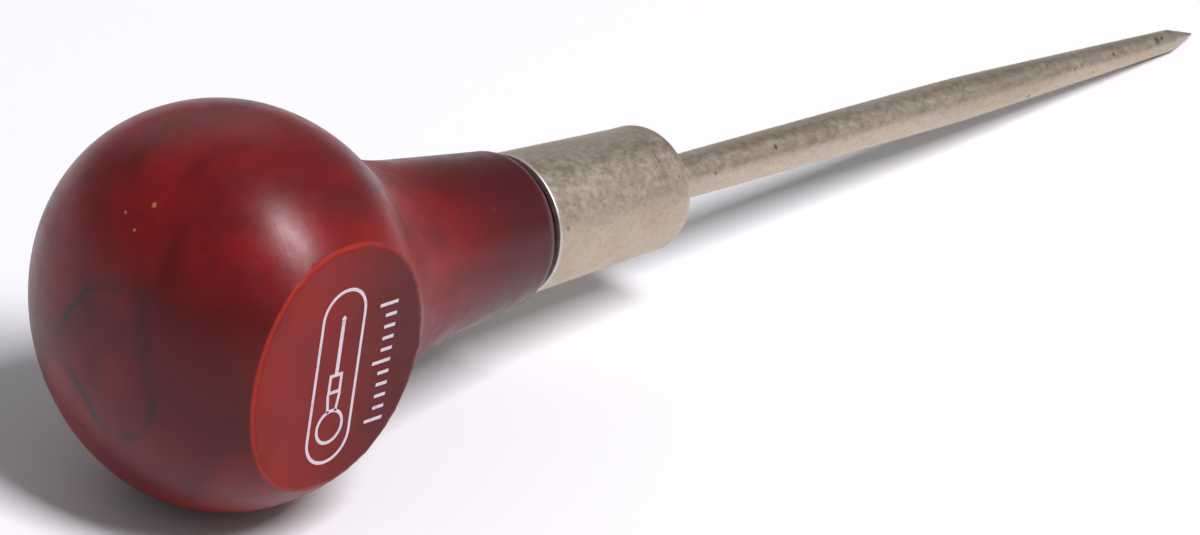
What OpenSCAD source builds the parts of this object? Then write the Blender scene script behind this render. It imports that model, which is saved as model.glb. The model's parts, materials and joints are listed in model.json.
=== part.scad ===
// Scratch awl: a ball-and-neck wooden handle, a drawn steel ferrule and a one-piece steel blade.
// Each piece is drawn along its own axis, which is the tool's axis: x = 0 is the back of the ball
// and x grows towards the point. The finished awl lies on the bench, z = 0, touching it with its
// ball and with its point, and the flat on the ball looks along -Y.

/* [Whole tool] */
// From the back of the ball to the tip of the blade
overall_l = 154; // [130:1:190]

/* [Ball of the handle] */
// Widest diameter of the ball
ball_d = 37.2; // [34:0.1:46]
// From the back of the ball to its widest ring
ball_back_l = 14.5; // [12:0.1:20]
// From the widest ring to the front pole that the ball would have without a neck
ball_front_l = 17; // [15:0.1:22]
// How blunt the back of the ball is turned: 2 is an ellipse, more is blunter
ball_bluntness = 2.25; // [2:0.05:2.8]
// From the tool's axis to the flat that stops the awl rolling
flat_offset = 14.4; // [12:0.1:16.5]

/* [Neck of the handle] */
// From the back of the ball to the front of the neck
neck_end_x = 52.1; // [48:0.1:60]
// Length of the straight part of the neck, its rounded front included
neck_straight_l = 13.9; // [10:0.1:16]
// Diameter where the straight part of the neck begins
neck_back_d = 17.6; // [16:0.1:21]
// Diameter that the straight part has run down to at its front
neck_front_d = 14.8; // [13.8:0.1:18]
// Radius of the rounded front edge of the neck
neck_edge_r = 2.3; // [1:0.1:3]

/* [Ferrule] */
// Length over the closed end
ferrule_l = 20.3; // [16:0.1:26]
// Outside diameter at the open back
ferrule_back_d = 13.5; // [12.8:0.1:13.7]
// Outside diameter where the bead begins
ferrule_front_d = 11.8; // [10:0.1:12.4]
// Diameter over the bead
bead_d = 12.1; // [11.9:0.05:12.8]
// Radius of the bead, which rolls over into the closed end
bead_r = 1.9; // [1.2:0.1:2.4]
// How far the closed end domes out from the bead to its hole
dome_h = 0.35; // [0:0.05:0.8]
// Thickness of the drawn sheet
ferrule_wall = 0.7; // [0.4:0.1:1]

/* [Blade] */
// Diameter of the shank
shank_d = 4.35; // [4:0.05:5]
// Length of the long taper, from the shank to the ground point
taper_l = 33.2; // [25:0.1:45]
// Length over which the shank eases into the long taper
taper_blend_l = 12; // [4:0.5:20]
// Length of the ground point
point_l = 3.6; // [2:0.1:8]
// Diameter where the ground point begins
point_d = 2.2; // [1.4:0.1:2.6]
// Radius of the very tip
tip_r = 0.15; // [0.1:0.05:0.3]

/* [Tang inside the handle] */
// Diameter of the round part of the tang, which passes through the ferrule
tang_d = 3.9; // [3.2:0.1:3.9]
// Length of the round part of the tang
tang_round_l = 8; // [5:0.5:12]
// Length of the square part of the tang
tang_square_l = 30; // [18:1:34]
// Width of the square tang where it leaves the round part
tang_root_w = 2.7; // [2:0.1:2.7]
// Width of the square tang at its driven end
tang_end_w = 1.4; // [0.8:0.1:2]

/* [Fits] */
// Gap all round between the ferrule and the tenon it is pressed on
tenon_clearance = 0.05; // [0:0.01:0.2]
// Gap between the open back of the ferrule and the front of the neck
ferrule_gap = 0.1; // [0:0.05:0.5]
// Gap between the end of the tenon and the inside of the closed end
tenon_end_gap = 0.8; // [0.2:0.1:2]
// Gap all round between the tang and the hole it is driven into
tang_clearance = 0.03; // [0:0.01:0.15]
// Gap all round between the tang and the hole in the ferrule
ferrule_hole_clearance = 0.06; // [0.02:0.01:0.3]

/* [Hidden] */

$fn = 96;
arc_steps = 24;         // straight pieces in a short arc or blend
ball_step = 6;          // degrees between the points of the ball's outline
over = 1;               // how far a cutter runs past what it cuts
tip_wrap = 75;          // degrees that the rounded tip wraps back from the very front

wood_color = [0.42, 0.09, 0.09];
plate_color = [0.72, 0.67, 0.61];
steel_color = [0.66, 0.62, 0.57];

// Ball, from its widest ring
ball_r = ball_d / 2;
neck_joint_angle = 37;  // where the neck's curve leaves the ball, from the widest ring

// Neck
neck_straight_x = neck_end_x - neck_straight_l;
neck_slope = (neck_front_d - neck_back_d) / 2 / neck_straight_l;
neck_edge_x = neck_end_x - neck_edge_r;
neck_edge_top = neck_back_d / 2 + neck_slope * (neck_edge_x - neck_straight_x);
neck_curve_pull = [0.33, 0.48];   // reach of the curve's two handles, as shares of its length

// Ferrule
ferrule_x = neck_end_x + ferrule_gap;
ferrule_end_x = ferrule_x + ferrule_l;
bead_x = ferrule_end_x - dome_h - bead_r;
bead_start_x = bead_x - bead_r;
bead_center_r = bead_d / 2 - bead_r;
ferrule_slope = (ferrule_front_d - ferrule_back_d) / 2 / (bead_start_x - ferrule_x);
ferrule_hole_r = tang_d / 2 + ferrule_hole_clearance;
ferrule_floor_x = ferrule_end_x - dome_h - ferrule_wall;

// Tenon
tenon_end_x = ferrule_floor_x - tenon_end_gap;

// Blade
shank_r = shank_d / 2;
point_x = overall_l - point_l;
taper_x = point_x - taper_l;
taper_slope = (point_d / 2 - shank_r) / taper_l;
shank_end_x = taper_x - taper_blend_l / 2;
tang_end_x = ferrule_end_x - tang_round_l - tang_square_l;

// How the awl lies. Its axis points down by the angle at which the ball and the blade both touch
// the bench. The blade touches it with its very tip or, where the ground point is blunter than
// that angle, with the ring where the ground point begins: whichever needs the smaller angle.
tip_reach = overall_l - tip_r - ball_back_l;
tip_a = tip_reach * tip_reach + ball_r * ball_r - ball_front_l * ball_front_l;
tip_b = tip_reach * tip_r;
tip_c = tip_r * tip_r - ball_r * ball_r;
tip_touch_angle = asin((sqrt(tip_b * tip_b - tip_a * tip_c) - tip_b) / tip_a);
ring_reach = point_x - ball_back_l;
ring_a = ring_reach * ring_reach - ball_front_l * ball_front_l;
ring_b = ring_reach * point_d / 2;
ring_c = point_d * point_d / 4 - ball_r * ball_r;
ring_touch_angle = atan((sqrt(ring_b * ring_b - ring_a * ring_c) - ring_b) / ring_a);
lie_angle = min(tip_touch_angle, ring_touch_angle);

// Where the middle of the ball then lies, with the origin under the middle of the whole awl
blunt_dual = ball_bluntness / (ball_bluntness - 1);
back_reach = pow(pow(ball_back_l * cos(lie_angle), blunt_dual)
    + pow(ball_r * sin(lie_angle), blunt_dual), 1 / blunt_dual);
front_reach = tip_reach * cos(lie_angle) + tip_r;
ball_center = [(back_reach - front_reach) / 2,
               (flat_offset - ball_r) / 2,
               norm([ball_front_l * sin(lie_angle), ball_r * cos(lie_angle)])];

// Points of an arc round a centre, from one angle to another
function arc(center, r, from, to, steps = arc_steps) =
    [for (i = [0:steps]) let (a = from + (to - from) * i / steps) center + r * [cos(a), sin(a)]];

// Points of a smooth curve that starts at p along t0 and ends at q along t1
function blend(p, t0, q, t1, steps = arc_steps) =
    [for (i = [0:steps]) let (t = i / steps, s = 1 - t)
        s * s * s * p + 3 * s * s * t * (p + t0) + 3 * s * t * t * (q - t1) + t * t * t * q];

// Back half of the ball, from the pole to just before the widest ring
function ball_back() =
    [for (a = [0:ball_step:90 - ball_step])
        [ball_back_l * (1 - pow(cos(a), 2 / ball_bluntness)), ball_r * pow(sin(a), 2 / ball_bluntness)]];

// Front half of the ball, from the widest ring to where the neck's curve leaves it
function ball_front() =
    [for (a = [0:ball_step:neck_joint_angle - ball_step / 2]) ball_point(a)];

function ball_point(a) = [ball_back_l + ball_front_l * sin(a), ball_r * cos(a)];

// Concave curve from the ball to the straight part of the neck
function neck_curve() =
    let (p = ball_point(neck_joint_angle),
         q = [neck_straight_x, neck_back_d / 2],
         reach = q[0] - p[0],
         ball_slope = -ball_r / ball_front_l * tan(neck_joint_angle))
    blend(p, neck_curve_pull[0] * reach * [1, ball_slope], q, neck_curve_pull[1] * reach * [1, neck_slope]);

// Rounded front edge of the neck, down to the tenon's side
function neck_edge() =
    [for (p = arc([neck_edge_x, neck_edge_top - neck_edge_r], neck_edge_r, 90, 0))
        if (p[1] > tenon_r(p[0])) p];

// Radius of the outside and of the inside of the ferrule's cone, and of the tenon, at x
function ferrule_r(x) = ferrule_back_d / 2 + ferrule_slope * (x - ferrule_x);
function tenon_r(x) = ferrule_r(x) - ferrule_wall - tenon_clearance;

// Turns a profile of [x, r] points into a solid round the tool's axis
module turned(profile) {
    rotate([0, 90, 0])
        rotate_extrude()
            polygon([for (p = profile) [p[1], p[0]]]);
}

// Lays a piece that is drawn along the tool's axis down on the bench
module lying() {
    translate(ball_center)
        rotate([0, lie_angle, 0])
            translate([-ball_back_l, 0, 0])
                children();
}

// Square bar that narrows evenly from one end to the other
module square_taper(x0, x1, w0, w1) {
    outline = [[x0, -w0 / 2], [x1, -w1 / 2], [x1, w1 / 2], [x0, w0 / 2]];
    span = max(w0, w1) + 2 * over;
    intersection() {
        translate([0, 0, -span / 2])
            linear_extrude(span) polygon(outline);
        rotate([90, 0, 0])
            translate([0, 0, -span / 2])
                linear_extrude(span) polygon(outline);
    }
}

// Tang: a round part that passes through the ferrule, then a square taper driven into the wood
module tang(gap = 0) {
    round_end_x = ferrule_end_x - tang_round_l;
    turned([[round_end_x - gap, 0], [round_end_x - gap, tang_d / 2 + gap],
            [ferrule_end_x, tang_d / 2 + gap], [ferrule_end_x, 0]]);
    square_taper(tang_end_x - gap, round_end_x + over + gap, tang_end_w + 2 * gap, tang_root_w + 2 * gap);
}

module handle() {
    color(wood_color) lying()
        difference() {
            turned(concat(
                ball_back(), ball_front(), neck_curve(), neck_edge(),
                [[neck_end_x, tenon_r(neck_end_x)], [tenon_end_x, tenon_r(tenon_end_x)], [tenon_end_x, 0]]));
            translate([-over, -flat_offset - ball_r, -ball_r - over])
                cube([ball_back_l + ball_front_l + over, ball_r, ball_d + 2 * over]);
            tang(tang_clearance);
        }
}

module ferrule() {
    color(plate_color) lying()
        difference() {
            turned(concat(
                [[ferrule_x, 0], [ferrule_x, ferrule_r(ferrule_x)]],
                blend([bead_start_x, ferrule_r(bead_start_x)], bead_r / 2 * [1, ferrule_slope],
                      [bead_x, bead_d / 2], bead_r / 2 * [1, 0]),
                arc([bead_x, bead_center_r], bead_r, 90, 0),
                [[ferrule_end_x, ferrule_hole_r], [ferrule_end_x, 0]]));
            turned([[ferrule_x - over, 0], [ferrule_x - over, ferrule_r(ferrule_x - over) - ferrule_wall],
                    [ferrule_floor_x, ferrule_r(ferrule_floor_x) - ferrule_wall], [ferrule_floor_x, 0]]);
            turned([[ferrule_floor_x - over, 0], [ferrule_floor_x - over, ferrule_hole_r],
                    [ferrule_end_x + over, ferrule_hole_r], [ferrule_end_x + over, 0]]);
        }
}

module blade() {
    color(steel_color) lying() {
        turned(concat(
            [[ferrule_end_x, 0], [ferrule_end_x, shank_r]],
            blend([shank_end_x, shank_r], taper_blend_l / 3 * [1, 0],
                  [shank_end_x + taper_blend_l, shank_r + taper_slope * taper_blend_l / 2],
                  taper_blend_l / 3 * [1, taper_slope]),
            [[point_x, point_d / 2]],
            arc([overall_l - tip_r, 0], tip_r, tip_wrap, 0)));
        tang();
    }
}

handle();
ferrule();
blade();
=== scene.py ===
import json
import math

import bpy
from mathutils import Matrix, Vector


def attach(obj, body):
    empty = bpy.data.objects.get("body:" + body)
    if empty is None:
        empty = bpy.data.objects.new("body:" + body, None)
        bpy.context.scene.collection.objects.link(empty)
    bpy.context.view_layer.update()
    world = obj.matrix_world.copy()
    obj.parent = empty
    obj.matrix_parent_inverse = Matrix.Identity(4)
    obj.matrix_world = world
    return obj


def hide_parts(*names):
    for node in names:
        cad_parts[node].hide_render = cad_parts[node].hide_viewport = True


mm = 0.001

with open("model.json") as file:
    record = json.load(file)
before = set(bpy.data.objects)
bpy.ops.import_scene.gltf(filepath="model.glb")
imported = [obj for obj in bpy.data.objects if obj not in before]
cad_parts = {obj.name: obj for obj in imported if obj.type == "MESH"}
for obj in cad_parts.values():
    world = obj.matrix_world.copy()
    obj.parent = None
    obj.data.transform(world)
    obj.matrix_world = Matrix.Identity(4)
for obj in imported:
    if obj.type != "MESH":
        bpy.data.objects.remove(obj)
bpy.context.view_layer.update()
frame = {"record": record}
print("stage: CAD frame loaded")

# The tool's own frame: x runs from the butt to the tip, y points away from the flat.
mounts = {m["name"]: m for m in frame["record"]["mounts"]}
ballFrontX = 14.5  # from the butt to the ball's widest ring
flatDepth = 14.4  # from the axis to the flat
toolAxis = Vector(mounts["blade_shank"]["axis"]).normalized()
toolUp = toolAxis.cross(Vector((0, 1, 0)))
ballCenter = Vector(mounts["anti_roll_flat"]["pos_m"]) + Vector((0, flatDepth * mm, 0))
toolPlace = Matrix.Translation(ballCenter - toolAxis * ballFrontX * mm) @ Matrix(
    (toolAxis, (0, 1, 0), toolUp)
).transposed().to_4x4()


def startPiece(name):
    bpy.ops.object.select_all(action="DESELECT")
    bpy.ops.mesh.primitive_plane_add(size=1, location=(0, 0, 0))
    piece = bpy.context.object
    piece.name = name
    piece.data.name = name
    return piece


def turnProfile(piece, points, steps):
    # One vertex of the plane is walked along the outline, then spun round the x axis.
    bpy.ops.object.mode_set(mode="EDIT")
    bpy.ops.mesh.select_all(action="SELECT")
    bpy.ops.mesh.merge(type="CENTER")
    bpy.ops.transform.translate(value=(points[0][0] * mm, 0, points[0][1] * mm))
    here = points[0]
    for x, r in points[1:]:
        step = ((x - here[0]) * mm, 0, (r - here[1]) * mm)
        bpy.ops.mesh.extrude_region_move(TRANSFORM_OT_translate={"value": step})
        here = (x, r)
    bpy.ops.mesh.select_all(action="SELECT")
    bpy.ops.mesh.spin(steps=steps, angle=math.tau, center=(0, 0, 0), axis=(1, 0, 0))
    bpy.ops.mesh.select_all(action="SELECT")
    bpy.ops.mesh.remove_doubles(threshold=0.002 * mm)
    bpy.ops.mesh.normals_make_consistent(inside=False)
    bpy.ops.object.mode_set(mode="OBJECT")


def putInPlace(piece, smoothAngle):
    # The place goes into the mesh, and the object stays at the origin.
    bpy.ops.object.select_all(action="DESELECT")
    piece.select_set(True)
    bpy.context.view_layer.objects.active = piece
    piece.matrix_world = toolPlace @ piece.matrix_world
    bpy.ops.object.transform_apply(location=True, rotation=True, scale=True)
    bpy.ops.object.shade_smooth_by_angle(angle=math.radians(smoothAngle))


def bezier(a, b, c, d, count):
    spots = []
    for i in range(1, count + 1):
        t = i / count
        k = (1 - t) ** 3, 3 * t * (1 - t) ** 2, 3 * t * t * (1 - t), t**3
        spots.append(tuple(k[0] * a[j] + k[1] * b[j] + k[2] * c[j] + k[3] * d[j] for j in (0, 1)))
    return spots


def evenPoints(start, end, count):
    return [
        (start[0] + (end[0] - start[0]) * i / count, start[1] + (end[1] - start[1]) * i / count)
        for i in range(1, count + 1)
    ]


def arc(cx, cr, radius, start, end, count):
    return [
        (
            cx + radius * math.cos(math.radians(start + (end - start) * i / count)),
            cr + radius * math.sin(math.radians(start + (end - start) * i / count)),
        )
        for i in range(count + 1)
    ]


class Nodes:
    def __init__(self, name):
        self.material = bpy.data.materials.new(name)
        self.material.use_nodes = True
        self.tree = self.material.node_tree
        self.shader = self.tree.nodes["Principled BSDF"]
        coords = self.tree.nodes.new("ShaderNodeTexCoord")
        self.place = coords.outputs["Object"]

    def link(self, source, target):
        self.tree.links.new(source, target)

    def mapped(self, scale=(1, 1, 1), origin=None):
        # Turns row coordinates into the tool's own frame, about a point given in tool millimetres.
        mapping = self.tree.nodes.new("ShaderNodeMapping")
        mapping.vector_type = "TEXTURE"
        spot = toolPlace @ Vector([v * mm for v in (origin or (0, 0, 0))])
        mapping.inputs["Location"].default_value = spot
        mapping.inputs["Rotation"].default_value = toolPlace.to_euler()
        mapping.inputs["Scale"].default_value = [s * mm for s in scale]
        self.link(self.place, mapping.inputs["Vector"])
        return mapping.outputs["Vector"]

    def noise(self, vector, scale=1.0, detail=3.0, roughness=0.55, distortion=0.0):
        node = self.tree.nodes.new("ShaderNodeTexNoise")
        node.inputs["Scale"].default_value = scale
        node.inputs["Detail"].default_value = detail
        node.inputs["Roughness"].default_value = roughness
        node.inputs["Distortion"].default_value = distortion
        self.link(vector, node.inputs["Vector"])
        return node.outputs["Fac"]

    def cells(self, vector, scale=1.0, randomness=1.0):
        node = self.tree.nodes.new("ShaderNodeTexVoronoi")
        node.inputs["Scale"].default_value = scale
        node.inputs["Randomness"].default_value = randomness
        self.link(vector, node.inputs["Vector"])
        return node.outputs["Distance"]

    def remap(self, value, low, high, outLow=0.0, outHigh=1.0, smooth=True):
        node = self.tree.nodes.new("ShaderNodeMapRange")
        node.interpolation_type = "SMOOTHSTEP" if smooth else "LINEAR"
        node.inputs["From Min"].default_value = low
        node.inputs["From Max"].default_value = high
        node.inputs["To Min"].default_value = outLow
        node.inputs["To Max"].default_value = outHigh
        self.link(value, node.inputs["Value"])
        return node.outputs["Result"]

    def combine(self, operation, a, b=None):
        node = self.tree.nodes.new("ShaderNodeMath")
        node.operation = operation
        for socket, value in zip(node.inputs, (a, b)):
            if isinstance(value, (int, float)):
                socket.default_value = value
            elif value is not None:
                self.link(value, socket)
        return node.outputs["Value"]

    def squares(self, a, b):
        return self.combine("ADD", self.combine("MULTIPLY", a, a), self.combine("MULTIPLY", b, b))

    def axes(self, vector):
        node = self.tree.nodes.new("ShaderNodeSeparateXYZ")
        self.link(vector, node.inputs["Vector"])
        return node.outputs["X"], node.outputs["Y"], node.outputs["Z"]

    def dot(self, spot, size):
        # A small soft-edged dot about a point in tool millimetres.
        node = self.tree.nodes.new("ShaderNodeVectorMath")
        node.operation = "LENGTH"
        self.link(self.mapped((1, 1, 1), spot), node.inputs[0])
        return self.remap(node.outputs["Value"], size * 0.6, size * 1.5, 0.8, 0)

    def tint(self, factor, a, b):
        node = self.tree.nodes.new("ShaderNodeMix")
        node.data_type = "RGBA"
        self.link(factor, node.inputs["Factor"])
        for socket, value in ((node.inputs[6], a), (node.inputs[7], b)):
            if isinstance(value, tuple):
                socket.default_value = (*value, 1)
            else:
                self.link(value, socket)
        return node.outputs[2]

    def bump(self, height, strength, distance, under=None):
        node = self.tree.nodes.new("ShaderNodeBump")
        node.inputs["Strength"].default_value = strength
        node.inputs["Distance"].default_value = distance * mm
        self.link(height, node.inputs["Height"])
        if under is not None:
            self.link(under, node.inputs["Normal"])
        return node.outputs["Normal"]


handleLook = {
    "ballRadius": 18.6,
    "backLength": 14.5,
    "frontLength": 17.0,
    "bluntness": 2.25,
    "neckAngle": 37,  # degrees from the ball's widest ring to where the neck curve leaves it
    "neckStartX": 38.2,
    "neckStartRadius": 8.8,
    "neckEdgeX": 49.8,
    "shoulderX": 52.1,
    "shoulderRadius": 7.4,
    "edgeRound": 2.3,
    "curvePull": (0.33, 0.48),
    "flatEdgeRound": 1.1,
    "tenonGap": 0.05,
    "tenonEndX": 70.65,
    "boreRadius": 2.02,
    "boreTaperX": 64.4,
    "boreEndX": 34.0,
    "boreEndRadius": 1.02,
    "flatRollSteps": 6,
    "leastFlatArea": 50,  # square millimetres, past any other face that looks to the flat's side
    "turns": 224,
}


def ballPoint(angle, front):
    h = handleLook
    length = h["frontLength"] if front else h["backLength"]
    k = 2 / h["bluntness"] if not front else 1
    c = math.cos(math.radians(angle)) ** k
    s = math.sin(math.radians(angle)) ** k
    side = 1 if front else -1
    return (ballFrontX + side * length * c, h["ballRadius"] * s)


def stepIn(scale, level):
    # A new ring of faces: the old face is drawn in and pressed level at that depth.
    bpy.ops.mesh.extrude_region_move(TRANSFORM_OT_translate={"value": (0, 0, 0)})
    middle = (ballFrontX * mm, -level * mm, 0)
    bpy.ops.transform.resize(value=(scale, 0, scale), center_override=middle)


def makeHandle():
    h = handleLook
    leaveAngle = 90 - h["neckAngle"]
    leave = ballPoint(leaveAngle, True)
    outline = [(0.0, 0.0)]
    outline += [ballPoint(a, False) for a in (0.6, 1.4, 2.6, 4.2, 6)]  # closer steps at the blunt end
    outline += [ballPoint(a, False) for a in range(8, 91, 2)]
    outline += [ballPoint(90 - a, True) for a in range(2, h["neckAngle"], 2)]
    outline = [p for p in outline if p[0] < leave[0] - 0.3] + [leave]
    lean = math.radians(leaveAngle)
    slope = Vector((h["frontLength"] * math.sin(lean), -h["ballRadius"] * math.cos(lean))).normalized()
    neck = (h["neckStartX"], h["neckStartRadius"])
    edge = (h["neckEdgeX"], h["shoulderRadius"])
    taper = (Vector(edge) - Vector(neck)).normalized()
    span = (Vector(neck) - Vector(leave)).length
    leavePull = Vector(leave) + slope * span * h["curvePull"][0]
    neckPull = Vector(neck) - taper * span * h["curvePull"][1]
    outline += bezier(leave, leavePull, neckPull, neck, 34)
    outline += evenPoints(neck, edge, 8)
    rounding = h["edgeRound"]
    tenon = ferruleLook["backRadius"] - ferruleLook["wall"] - h["tenonGap"]
    outline += arc(h["shoulderX"] - rounding, edge[1] - rounding, rounding, 90, 0, 12)[1:]
    outline += [(h["shoulderX"], tenon), (h["shoulderX"] + 0.4, tenon)]
    outline += [(h["tenonEndX"] - 0.5, tenon - 0.75), (h["tenonEndX"], tenon - 1.25)]
    outline += [(h["tenonEndX"], h["boreRadius"]), (h["boreTaperX"], h["boreRadius"])]
    outline += [(h["boreEndX"] + 0.4, h["boreEndRadius"]), (h["boreEndX"], 0.0)]
    handle = startPiece("handleWood")
    turnProfile(handle, outline, h["turns"])

    # The flat: cut a little deep, then raised back in small steps that round its edge.
    rollAngle = math.degrees(math.acos(flatDepth / h["ballRadius"]))
    rho = h["flatEdgeRound"]
    depth = rho * (1 - math.cos(math.radians(rollAngle)))
    bpy.ops.object.mode_set(mode="EDIT")
    bpy.ops.mesh.select_all(action="SELECT")
    bpy.ops.mesh.bisect(
        plane_co=(0, -(flatDepth - depth) * mm, 0),
        plane_no=(0, -1, 0),
        use_fill=True,
        clear_outer=True,
    )
    bpy.ops.object.mode_set(mode="OBJECT")
    bpy.context.tool_settings.mesh_select_mode = (False, False, True)
    for face in handle.data.polygons:
        face.select = face.normal.y < -0.999 and face.area > h["leastFlatArea"] * mm * mm
    bpy.ops.object.mode_set(mode="EDIT")
    faceSize = math.sqrt(h["ballRadius"] ** 2 - (flatDepth - depth) ** 2)
    steps = h["flatRollSteps"]
    for i in range(1, steps + 1):
        last = math.radians(rollAngle * (1 - (i - 1) / steps))
        turn = math.radians(rollAngle * (1 - i / steps))
        shrink = rho * (math.sin(last) - math.sin(turn))
        stepIn((faceSize - shrink) / faceSize, flatDepth - rho * (1 - math.cos(turn)))
        faceSize -= shrink
    stepIn(0.96, flatDepth)
    bpy.ops.object.mode_set(mode="OBJECT")
    bpy.context.tool_settings.mesh_select_mode = (True, False, False)
    putInPlace(handle, 40)
    return handle


woodFinish = {
    "deep": (0.088, 0.0045, 0.0055),
    "warm": (0.205, 0.0065, 0.0072),
    # dark colour for grain streaks and pores, also used for painted shade on the ball
    "darkStreakAndShade": (0.056, 0.003, 0.004),
    "ring": (0.034, 0.011, 0.012),
    "flat": (0.200, 0.003, 0.0015),
    "flatFar": (0.070, 0.0015, 0.002),
    # painted highlight colour for the flat's eased edge
    "flatEdgeHighlight": (0.29, 0.014, 0.005),
    "speck": (0.45, 0.20, 0.07),
    "pith": (0.0, 0.0, -1.9),  # the middle of the growth rings on the butt
    "ringRadius": 5.6,
    "innerRingRadius": 2.7,
    "ringWander": 3.0,
    "shadeSpot": (6.0, -11.5, 1.0),  # the middle of the painted shade beside the flat
    "gloss": (0.30, 0.40),  # smoothest and dullest roughness of the lacquer
    "lacquerIor": 1.36,
    "specks": (  # place in tool millimetres, and radius
        ((3.0, -0.4, 12.4), 0.22),
        ((1.7, 0.3, 9.95), 0.14),
        ((2.2, 2.1, 10.8), 0.14),
        ((43.0, -5.6, 5.8), 0.14),
        ((45.5, -7.4, -1.5), 0.14),
    ),
    "pore": (0.010, 0.003, 0.003),
    "pores": (((2.2, 3.0, -10.6), 0.30),),
}


def woodMaterial():
    n = Nodes("stainedLacquerWood")
    w = woodFinish
    alongGrain = n.mapped((40, 3.2, 3.2))
    fineGrain = n.mapped((7, 0.45, 0.45))
    plain = n.mapped()
    broad = n.noise(n.mapped((16, 11, 11)), detail=2.5, distortion=0.4)
    grain = n.noise(alongGrain, detail=5, roughness=0.55, distortion=0.25)
    fine = n.noise(fineGrain, detail=3, roughness=0.6)
    color = n.tint(n.remap(broad, 0.27, 0.70), w["deep"], w["warm"])
    streaks = n.combine("MULTIPLY", n.remap(grain, 0.50, 0.70), 0.35)
    color = n.tint(streaks, color, w["darkStreakAndShade"])
    pores = n.combine("MULTIPLY", n.remap(fine, 0.56, 0.74), 0.22)
    color = n.tint(pores, color, w["darkStreakAndShade"])

    # Growth rings close on themselves where the end grain meets the butt.
    toolX, _, _ = n.axes(plain)
    _, ringY, ringZ = n.axes(n.mapped((1, 1, 1.22), w["pith"]))
    drift = n.noise(n.mapped((9, 7, 7)), detail=0.6, roughness=0.5)
    wander = n.remap(drift, 0, 1, -w["ringWander"], w["ringWander"], False)
    far = n.combine("ADD", n.combine("SQRT", n.squares(ringY, ringZ)), wander)
    offRing = n.combine("ABSOLUTE", n.combine("SUBTRACT", far, w["ringRadius"]))
    line = n.remap(offRing, 0.0, 1.2, 0.9, 0)
    offInner = n.combine("ABSOLUTE", n.combine("SUBTRACT", far, w["innerRingRadius"]))
    inner = n.remap(offInner, 0.05, 0.6, 0.4, 0)
    blotch = n.remap(far, 3.2, 6.4, 0.34, 0)
    atButt = n.remap(toolX, 2.2, 5.6, 1, 0)
    marks = n.combine("MAXIMUM", n.combine("MAXIMUM", line, inner), blotch)
    breakUp = n.remap(n.noise(n.mapped((4, 4, 4)), detail=1), 0.36, 0.6, 0.45, 1)
    marks = n.combine("MULTIPLY", n.combine("MULTIPLY", marks, atButt), breakUp)
    color = n.tint(marks, color, w["ring"])

    # Painted shade darkens the butt side of the ball beside the flat, and the wood is also darker
    # along the neck towards the shoulder.
    _, shadeY, shadeZ = n.axes(n.mapped((1, 1, 1), w["shadeSpot"]))
    reach = n.squares(shadeY, shadeZ)
    paintedShade = n.combine("MULTIPLY", n.remap(reach, 12, 130, 0.75, 0), n.remap(toolX, 12, 17, 1, 0))
    color = n.tint(paintedShade, color, w["darkStreakAndShade"])
    shoulder = n.remap(toolX, 29.0, 48.0, 0, 1.0)
    color = n.tint(shoulder, color, w["darkStreakAndShade"])

    # A few pinhead specks of bare wood, and one dark pore.
    for spot, size in w["specks"]:
        color = n.tint(n.dot(spot, size), color, w["speck"])
    for spot, size in w["pores"]:
        color = n.tint(n.dot(spot, size), color, w["pore"])

    # The sanded flat takes the stain more evenly and redder. Its eased edge on the butt half gets a
    # painted highlight, and the flat gets painted shade towards the neck.
    rowY = n.axes(n.place)[1]
    faceY = ballCenter.y - flatDepth * mm
    onFlat = n.remap(rowY, faceY + 0.02 * mm, faceY + 0.10 * mm, 1, 0)
    onEdge = n.remap(rowY, faceY + 0.16 * mm, faceY + 0.34 * mm, 1, 0)
    # Painted shade: the flat's colour darkens towards the neck.
    towardNeck = n.remap(toolX, 8, 25, 0, 1)
    flatTone = n.tint(towardNeck, w["flat"], w["flatFar"])
    patchy = n.noise(n.mapped((10, 3, 8)), detail=4)
    flatTone = n.tint(n.remap(patchy, 0.4, 0.8, 0, 0.6), flatTone, w["flatFar"])
    # Painted highlight: the eased edge of the flat on the butt half is painted brighter.
    inkWearAndEdgeHighlight = n.combine("MULTIPLY", onEdge, n.remap(toolX, 13, 24, 1, 0))
    color = n.tint(inkWearAndEdgeHighlight, color, w["flatEdgeHighlight"])
    color = n.tint(onFlat, color, flatTone)
    n.link(color, n.shader.inputs["Base Color"])

    haze = n.noise(n.mapped((2.5, 2.5, 2.5)), detail=5, roughness=0.65)
    rough = n.remap(haze, 0.3, 0.7, *w["gloss"])
    dull = n.remap(onEdge, 0, 1, 0, 0.16)
    inNeck = n.combine("MULTIPLY", n.remap(toolX, 24, 29, 0, 0.16), n.remap(toolX, 32, 38, 1, 0))
    dull = n.combine("MAXIMUM", dull, inNeck)
    n.link(n.combine("ADD", rough, dull), n.shader.inputs["Roughness"])
    lathe = n.noise(n.mapped((0.16, 5, 5)), detail=2)
    under = n.bump(lathe, 0.34, 0.02)
    under = n.bump(fine, 0.10, 0.03, under)
    ripple = n.noise(n.mapped((1.1, 1.1, 1.1)), detail=4, roughness=0.6)
    n.link(n.bump(ripple, 0.22, 0.03, under), n.shader.inputs["Normal"])
    n.shader.inputs["IOR"].default_value = w["lacquerIor"]
    return n.material


ferruleLook = {
    "backX": 52.2,
    "backRadius": 6.75,
    "frontRadius": 5.9,
    "wall": 0.7,
    "beadStartX": 68.35,
    "beadX": 70.25,
    "beadRound": 1.9,
    "beadRadius": 6.05,
    "noseX": 72.5,
    "floorX": 71.45,
    "holeRadius": 2.01,
    "lipRadius": 2.62,
    "lipHeight": 0.12,
    "turns": 160,
}


def ferruleRadius(x):
    f = ferruleLook
    t = (x - f["backX"]) / (f["noseX"] - f["backX"])
    return f["backRadius"] + (f["frontRadius"] - f["backRadius"]) * t


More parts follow.
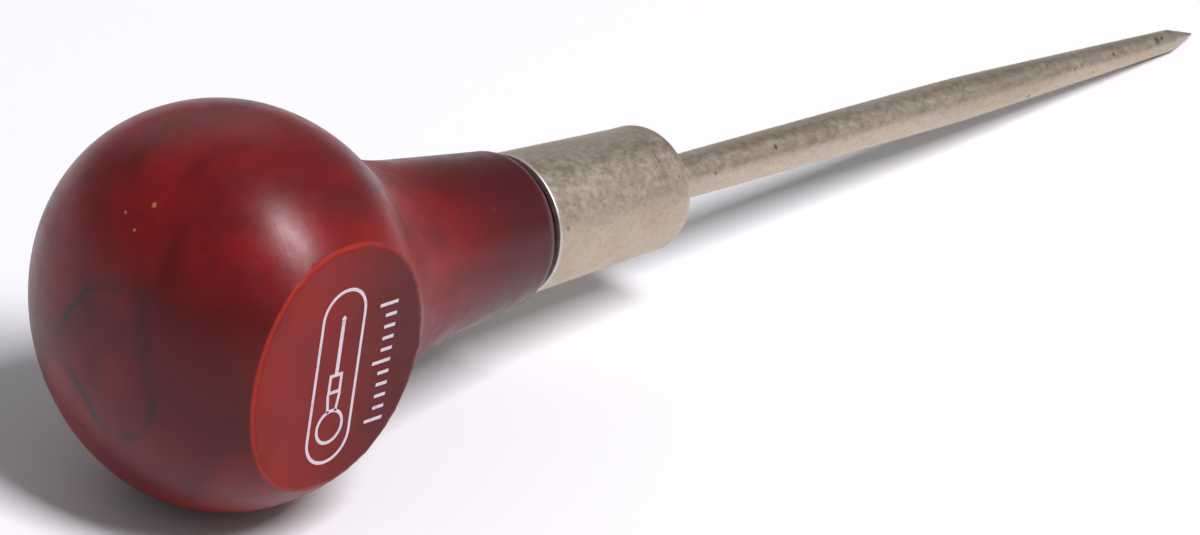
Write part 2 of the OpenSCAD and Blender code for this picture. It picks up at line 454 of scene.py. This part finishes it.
def makeFerrule():
    f = ferruleLook
    rimEnd = f["backX"] + 0.22
    outline = [(f["backX"] + 0.07, f["backRadius"] - 0.015), (rimEnd, ferruleRadius(f["backX"] + 0.2))]
    for i in range(1, 24):
        x = rimEnd + (f["beadStartX"] - rimEnd) * i / 23
        outline.append((x, ferruleRadius(x)))
    start = (f["beadStartX"], ferruleRadius(f["beadStartX"]))
    top = (f["beadX"], f["beadRadius"])
    outline += bezier(start, (start[0] + 0.85, start[1] - 0.04), (top[0] - 0.75, top[1]), top, 14)
    outline += arc(f["beadX"], f["beadRadius"] - f["beadRound"], f["beadRound"], 90, 12, 16)[1:]
    brow = outline[-1]
    nose = f["noseX"]
    lip = f["lipRadius"]
    rise = f["lipHeight"]
    outline += bezier(brow, (brow[0] + 0.12, brow[1] - 0.5), (nose - 0.02, 3.9), (nose - 0.01, 3.1), 8)
    outline += [(nose - 0.01, lip + 0.12), (nose + rise * 0.8, lip - 0.02), (nose + rise, lip - 0.2)]
    outline += [(nose + rise * 0.7, lip - 0.38), (nose, lip - 0.43)]
    outline += [(nose, f["holeRadius"]), (f["floorX"], f["holeRadius"])]
    inner = ferruleRadius(f["floorX"]) - f["wall"]
    mouth = f["backRadius"] - f["wall"]
    outline += [(f["floorX"], inner - 0.9), (f["floorX"] - 0.9, inner)]
    outline += [(f["backX"] + 0.1, mouth), (f["backX"], mouth + 0.1)]
    outline += [(f["backX"], f["backRadius"] - 0.10), (f["backX"] + 0.02, f["backRadius"] - 0.05)]
    outline.append(outline[0])
    ferrule = startPiece("ferruleShell")
    turnProfile(ferrule, outline, f["turns"])
    putInPlace(ferrule, 35)
    return ferrule


plateFinish = {
    "light": (0.600, 0.522, 0.428),
    "dark": (0.470, 0.378, 0.285),
    "tarnish": (0.385, 0.290, 0.195),
    "stain": (0.19, 0.125, 0.065),
    "pit": (0.16, 0.12, 0.09),
    # painted highlight colour for the ferrule's rear rim
    "edge": (0.66, 0.645, 0.60),
    "ferruleSpots": (((72.3, -2.5, -0.9), 0.75), ((71.9, -3.1, -0.2), 0.35)),
    "bladeSpots": (
        ((140.0, -1.1, 0.93), 0.20),
        ((133.5, -1.5, 0.67), 0.13),
        ((136.5, -1.5, -0.2), 0.14),
        ((147.3, -0.8, 0.88), 0.34),
        ((148.1, -0.7, 0.90), 0.22),
    ),
    "ferruleGloss": (0.42, 0.58),
    "bladeGloss": (0.37, 0.52),
}


def plateMaterial(name, isBlade):
    n = Nodes(name)
    p = plateFinish
    toolX, _, toolZ = n.axes(n.mapped())
    cloudSize = (16, 2.4, 2.4) if isBlade else (6, 3.4, 3.4)
    cloud = n.noise(n.mapped(cloudSize), detail=3, roughness=0.5, distortion=0.3)
    fog = n.noise(n.mapped((0.9, 0.7, 0.7)), detail=6, roughness=0.72)
    mottle = n.combine("ADD", n.combine("MULTIPLY", cloud, 0.5), n.combine("MULTIPLY", fog, 0.5))
    color = n.tint(n.remap(mottle, 0.28, 0.74), p["dark"], p["light"])
    grit = n.cells(n.mapped((0.42, 0.42, 0.42)))
    gritHere = n.remap(n.noise(n.mapped((3, 3, 3)), detail=3), 0.45, 0.62)
    dots = n.combine("MULTIPLY", n.remap(grit, 0.10, 0.24, 1, 0), gritHere)
    color = n.tint(n.combine("MULTIPLY", dots, 0.5), color, p["dark"])
    bloom = n.noise(n.mapped((0.75, 0.5, 0.5)), detail=5, roughness=0.75)
    color = n.tint(n.remap(bloom, 0.44, 0.66, 0, 0.42), color, p["tarnish"])
    pitCells = n.cells(n.mapped((4.2, 4.2, 4.2) if isBlade else (6, 6, 6)))
    pits = n.remap(pitCells, 0.030, 0.085, 0.9, 0)
    color = n.tint(pits, color, p["pit"])
    for spot, size in p["bladeSpots"] if isBlade else p["ferruleSpots"]:
        color = n.tint(n.dot(spot, size), color, p["stain"])
    if isBlade:
        near = n.remap(toolX, 72.7, 75.5, 0.55, 0)
    else:
        near = n.remap(toolX, 71.2, 72.45, 0, 0.65)
    patch = n.remap(n.noise(n.mapped((2.2, 2.2, 2.2), (3, 5, 1)), detail=3), 0.44, 0.62)
    color = n.tint(n.combine("MULTIPLY", near, patch), color, p["stain"])
    if not isBlade:
        # Painted highlight: the ferrule's rear rim is painted lighter all round.
        rimHighlight = n.remap(toolX, ferruleLook["backX"], ferruleLook["backX"] + 0.55, 0.8, 0)
        color = n.tint(rimHighlight, color, p["edge"])
        # Polishing left fine rings on the upper side of the bead.
        rings = n.remap(n.noise(n.mapped((0.11, 5, 5)), detail=2), 0.48, 0.64, 0, 0.42)
        here = n.combine("MULTIPLY", n.remap(toolX, 65.5, 68.5), n.remap(toolZ, 1.5, 4.5))
        color = n.tint(n.combine("MULTIPLY", rings, here), color, p["stain"])
    n.link(color, n.shader.inputs["Base Color"])
    n.shader.inputs["Metallic"].default_value = 1.0
    gloss = p["bladeGloss"] if isBlade else p["ferruleGloss"]
    n.link(n.remap(fog, 0.3, 0.7, *gloss), n.shader.inputs["Roughness"])
    if isBlade:
        lines = n.noise(n.mapped((9, 0.35, 0.35)), detail=3, roughness=0.6)
    else:
        lines = n.noise(n.mapped((0.22, 7, 7)), detail=3, roughness=0.6)
    under = n.bump(lines, 0.22, 0.03)
    under = n.bump(grit, 0.12, 0.03, under)
    dents = n.remap(pitCells, 0.02, 0.09, 0, 1)
    n.link(n.bump(dents, 0.5, 0.05, under), n.shader.inputs["Normal"])
    return n.material


bladeLook = {
    "seatX": 72.5,
    "shankRadius": 2.175,
    "shankEndX": 111.2,
    "taperX": 117.2,
    "pointX": 150.4,
    "pointRadius": 1.1,
    "tipX": 154.0,
    "tipRound": 0.13,
    "tangRadius": 1.95,
    "tangStartX": 64.5,
    "squareFrontX": 65.5,
    "squareBackX": 34.5,
    "squareFront": 2.7,
    "squareBack": 1.4,
    "turns": 96,
}


def makeBlade():
    b = bladeLook
    r = b["shankRadius"]
    outline = [(b["tangStartX"], 0.0), (b["tangStartX"], b["tangRadius"] - 0.3)]
    outline += [(b["tangStartX"] + 0.3, b["tangRadius"]), (b["seatX"] - 0.01, b["tangRadius"])]
    outline += [(b["seatX"], b["tangRadius"] + 0.01), (b["seatX"], r - 0.05), (b["seatX"] + 0.05, r)]
    outline += evenPoints((b["seatX"], r), (b["shankEndX"], r), 24)
    blendEnd = (b["taperX"] + 6, r - (r - b["pointRadius"]) * 6 / (b["pointX"] - b["taperX"]))
    start = (b["shankEndX"], r)
    outline += bezier(start, (start[0] + 4, r), (b["taperX"], r), blendEnd, 12)
    outline += evenPoints(blendEnd, (b["pointX"] - 0.25, b["pointRadius"] + 0.008), 16)
    coneStart = (b["pointX"] + 0.3, b["pointRadius"] - 0.13)
    outline += [(b["pointX"], b["pointRadius"] - 0.035), coneStart]
    outline += evenPoints(coneStart, (b["tipX"] - 0.1, b["tipRound"]), 8)
    outline += [(b["tipX"] - 0.04, 0.09), (b["tipX"] - 0.01, 0.045), (b["tipX"], 0.0)]
    blade = startPiece("bladeSteel")
    turnProfile(blade, outline, b["turns"])

    # The square tang that is driven into the wood.
    bpy.ops.object.select_all(action="DESELECT")
    middle = (b["squareFrontX"] + b["squareBackX"]) / 2 * mm
    bpy.ops.mesh.primitive_cube_add(size=1, location=(middle, 0, 0))
    tang = bpy.context.object
    tangLength = b["squareFrontX"] - b["squareBackX"]
    tang.scale = (tangLength * mm, b["squareFront"] * mm, b["squareFront"] * mm)
    bpy.ops.object.transform_apply(location=True, rotation=True, scale=True)
    for face in tang.data.polygons:
        face.select = face.normal.x < -0.9
    bpy.context.tool_settings.mesh_select_mode = (False, False, True)
    bpy.ops.object.mode_set(mode="EDIT")
    narrow = b["squareBack"] / b["squareFront"]
    bpy.ops.transform.resize(value=(1, narrow, narrow), center_override=(b["squareBackX"] * mm, 0, 0))
    bpy.ops.mesh.select_all(action="SELECT")
    bpy.ops.mesh.bevel(offset=0.12 * mm, segments=2, affect="EDGES")
    bpy.ops.object.mode_set(mode="OBJECT")
    bpy.context.tool_settings.mesh_select_mode = (True, False, False)
    joinUp = blade.modifiers.new("tang", "BOOLEAN")
    joinUp.operation = "UNION"
    joinUp.solver = "EXACT"
    joinUp.object = tang
    bpy.ops.object.select_all(action="DESELECT")
    blade.select_set(True)
    bpy.context.view_layer.objects.active = blade
    bpy.ops.object.modifier_apply(modifier=joinUp.name)
    bpy.data.objects.remove(tang)
    putInPlace(blade, 30)
    return blade


markLook = {
    "center": (14.75, -0.9),  # tool x, and up across the flat
    "lean": 2.2,
    "width": 5.6,
    "length": 17.4,
    "line": 0.32,
    "corner": 2.75,
    "scaleOffset": 5.75,  # from the frame's middle to the row of ticks
    "tickCount": 11,
    "tickGap": 1.16,
    "tickLong": 2.3,
    "tickShort": 1.4,
    "inkHeight": 0.02,
    "sunk": 0.01,  # keeps the ink closed against the wood
    "ink": (0.58, 0.50, 0.55),
    "wornInk": (0.42, 0.22, 0.24),
}


def inkShape(kind, size, place, turn=0.0, corner=0.0):
    # A flat shape facing up in its own plane: x across the mark, y along it.
    bpy.ops.object.select_all(action="DESELECT")
    if kind == "ring":
        bpy.ops.mesh.primitive_circle_add(vertices=40, radius=0.5, fill_type="NGON")
    else:
        bpy.ops.mesh.primitive_plane_add(size=1)
    shape = bpy.context.object
    shape.scale = (size[0] * mm, size[1] * mm, 1)
    bpy.ops.object.transform_apply(scale=True)
    bpy.ops.object.mode_set(mode="EDIT")
    bpy.ops.mesh.select_all(action="SELECT")
    if corner:
        bpy.ops.mesh.bevel(offset=corner * mm, segments=10, affect="VERTICES")
        bpy.ops.mesh.select_all(action="SELECT")
    if kind in ("ring", "frame"):
        bpy.ops.mesh.inset(thickness=markLook["line"] * mm)
        bpy.ops.mesh.delete(type="FACE")
    bpy.ops.object.mode_set(mode="OBJECT")
    shape.rotation_euler.z = math.radians(turn)
    shape.location = (place[0] * mm, place[1] * mm, 0)
    bpy.ops.object.transform_apply(location=True, rotation=True, scale=True)
    return shape


def makeMark():
    k = markLook
    line = k["line"]
    shapes = [inkShape("frame", (k["width"], k["length"]), (0, 0), corner=k["corner"])]
    # A small picture of the tool: ball, neck, collar and blade.
    shapes.append(inkShape("ring", (3.5, 3.5), (0, -5.0)))
    shapes.append(inkShape("bar", (line, 1.9), (-0.62, -2.6), turn=8))
    shapes.append(inkShape("bar", (line, 1.9), (0.62, -2.6), turn=-8))
    shapes.append(inkShape("frame", (1.7, 2.0), (0, -0.7)))
    shapes.append(inkShape("bar", (0.44, 5.3), (0, 2.95)))
    shapes.append(inkShape("bar", (0.44, 0.44), (0, 5.75), turn=45))
    for i in range(k["tickCount"]):
        y = (i - (k["tickCount"] - 1) / 2) * k["tickGap"]
        tick = k["tickLong"] if i % 5 == 0 else k["tickShort"]
        x = k["scaleOffset"] + (k["tickLong"] - tick) / 2
        shapes.append(inkShape("bar", (tick, line), (x, y)))
    bpy.ops.object.select_all(action="DESELECT")
    for shape in shapes:
        shape.select_set(True)
    bpy.context.view_layer.objects.active = shapes[0]
    bpy.ops.object.join()
    mark = bpy.context.object
    mark.name = "flatMark"
    mark.data.name = "flatMark"
    bpy.ops.object.mode_set(mode="EDIT")
    bpy.ops.mesh.select_all(action="SELECT")
    bpy.ops.mesh.extrude_region_move(
        TRANSFORM_OT_translate={"value": (0, 0, (k["inkHeight"] + k["sunk"]) * mm)}
    )
    bpy.ops.mesh.select_all(action="SELECT")
    bpy.ops.mesh.normals_make_consistent(inside=False)
    bpy.ops.object.mode_set(mode="OBJECT")
    # Stands the plane of the mark up against the flat, with its top facing -y.
    lean = Matrix.Rotation(math.radians(k["lean"]), 4, "Z")
    stand = Matrix.Rotation(math.radians(90), 4, "X")
    depth = flatDepth - k["sunk"]
    spot = Matrix.Translation((k["center"][0] * mm, -depth * mm, k["center"][1] * mm))
    mark.matrix_world = spot @ stand @ lean
    putInPlace(mark, 30)
    return mark


def inkMaterial():
    n = Nodes("printedInk")
    inkWearAndEdgeHighlight = n.noise(n.mapped((0.5, 0.5, 0.5)), detail=4, roughness=0.6)
    color = n.tint(n.remap(inkWearAndEdgeHighlight, 0.52, 0.72, 0, 0.6), markLook["ink"], markLook["wornInk"])
    n.link(color, n.shader.inputs["Base Color"])
    n.link(n.remap(inkWearAndEdgeHighlight, 0.3, 0.7, 0.42, 0.6), n.shader.inputs["Roughness"])
    n.link(n.bump(inkWearAndEdgeHighlight, 0.2, 0.01), n.shader.inputs["Normal"])
    return n.material


build = [
    (makeHandle, woodMaterial(), "handle", "stained_wood"),
    (makeFerrule, plateMaterial("satinPlateFerrule", False), "ferrule", "plated_ferrule"),
    (makeBlade, plateMaterial("satinPlateBlade", True), "blade", "plated_blade"),
    (makeMark, inkMaterial(), None, "mark_ink"),
]
for make, material, node, slotName in build:
    piece = make()
    piece.data.materials.clear()
    piece.data.materials.append(material)
    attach(piece, "root")
    if node:
        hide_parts(node)
    print("stage:", piece.name, len(piece.data.polygons), "faces")


studio = {
    "floorSize": 30.0,  # the studio is in metres and watts
    "floor": (0.84, 0.84, 0.84),
    "sky": (0.92, 0.94, 1.0),
    "skyStrength": 0.23,
    "strip": {
        "spot": (0.085, -1.119, 1.785),
        "aim": (-0.062, 0, 0.019),
        "size": (0.57, 0.96),
        "power": 53.0,
        "tint": (0.96, 0.94, 1.0),
    },
    "back": {"spot": (1.5, 2.7, 2.1), "size": (3.6, 2.4), "power": 15.0},
    "fill": {"spot": (2.7, -1.5, 1.5), "size": (2.4, 2.4), "power": 3.0},
}


def makeFloor():
    bpy.ops.object.select_all(action="DESELECT")
    bpy.ops.mesh.primitive_plane_add(size=studio["floorSize"], location=(0, 0, 0))
    floor = bpy.context.object
    floor.name = "floor"
    n = Nodes("paleFloor")
    n.shader.inputs["Base Color"].default_value = (*studio["floor"], 1)
    n.shader.inputs["Roughness"].default_value = 0.8
    floor.data.materials.append(n.material)


def softBox(name, spot, size, power, aim=(0, 0, 0), tint=(1.0, 1.0, 1.0)):
    bpy.ops.object.light_add(type="AREA", location=spot)
    lamp = bpy.context.object
    lamp.name = name
    lamp.data.shape = "RECTANGLE"
    lamp.data.size = size[0]
    lamp.data.size_y = size[1]
    lamp.data.energy = power
    lamp.data.color = tint
    lamp.rotation_mode = "QUATERNION"
    lamp.rotation_quaternion = (Vector(aim) - Vector(spot)).to_track_quat("-Z", "Y")


def makeLights():
    s = studio
    softBox("overheadStrip", **s["strip"])
    softBox("backCard", **s["back"])
    softBox("sideFill", **s["fill"])
    world = bpy.data.worlds.new("studioSky")
    world.use_nodes = True
    background = world.node_tree.nodes["Background"]
    background.inputs["Color"].default_value = (*s["sky"], 1)
    background.inputs["Strength"].default_value = s["skyStrength"]
    bpy.context.scene.world = world


view = {
    "spot": (-0.56986, -0.48459, 0.41476),
    "forward": (0.6618, 0.5711, -0.4857),
    "up": (0.3067, 0.3849, 0.8705),
    "lens": 270,
}


def makeCamera():
    bpy.ops.object.camera_add(location=view["spot"])
    camera = bpy.context.object
    back = -Vector(view["forward"]).normalized()
    side = Vector(view["up"]).cross(back).normalized()
    up = back.cross(side)
    camera.rotation_mode = "QUATERNION"
    camera.rotation_quaternion = Matrix((side, up, back)).transposed().to_quaternion()
    camera.data.lens = view["lens"]
    camera.data.sensor_width = 36
    camera.data.clip_start = 0.05
    camera.data.clip_end = 20
    bpy.context.scene.camera = camera


makeFloor()
makeLights()
makeCamera()
bpy.context.scene.view_settings.view_transform = "Standard"
print("stage: studio ready")
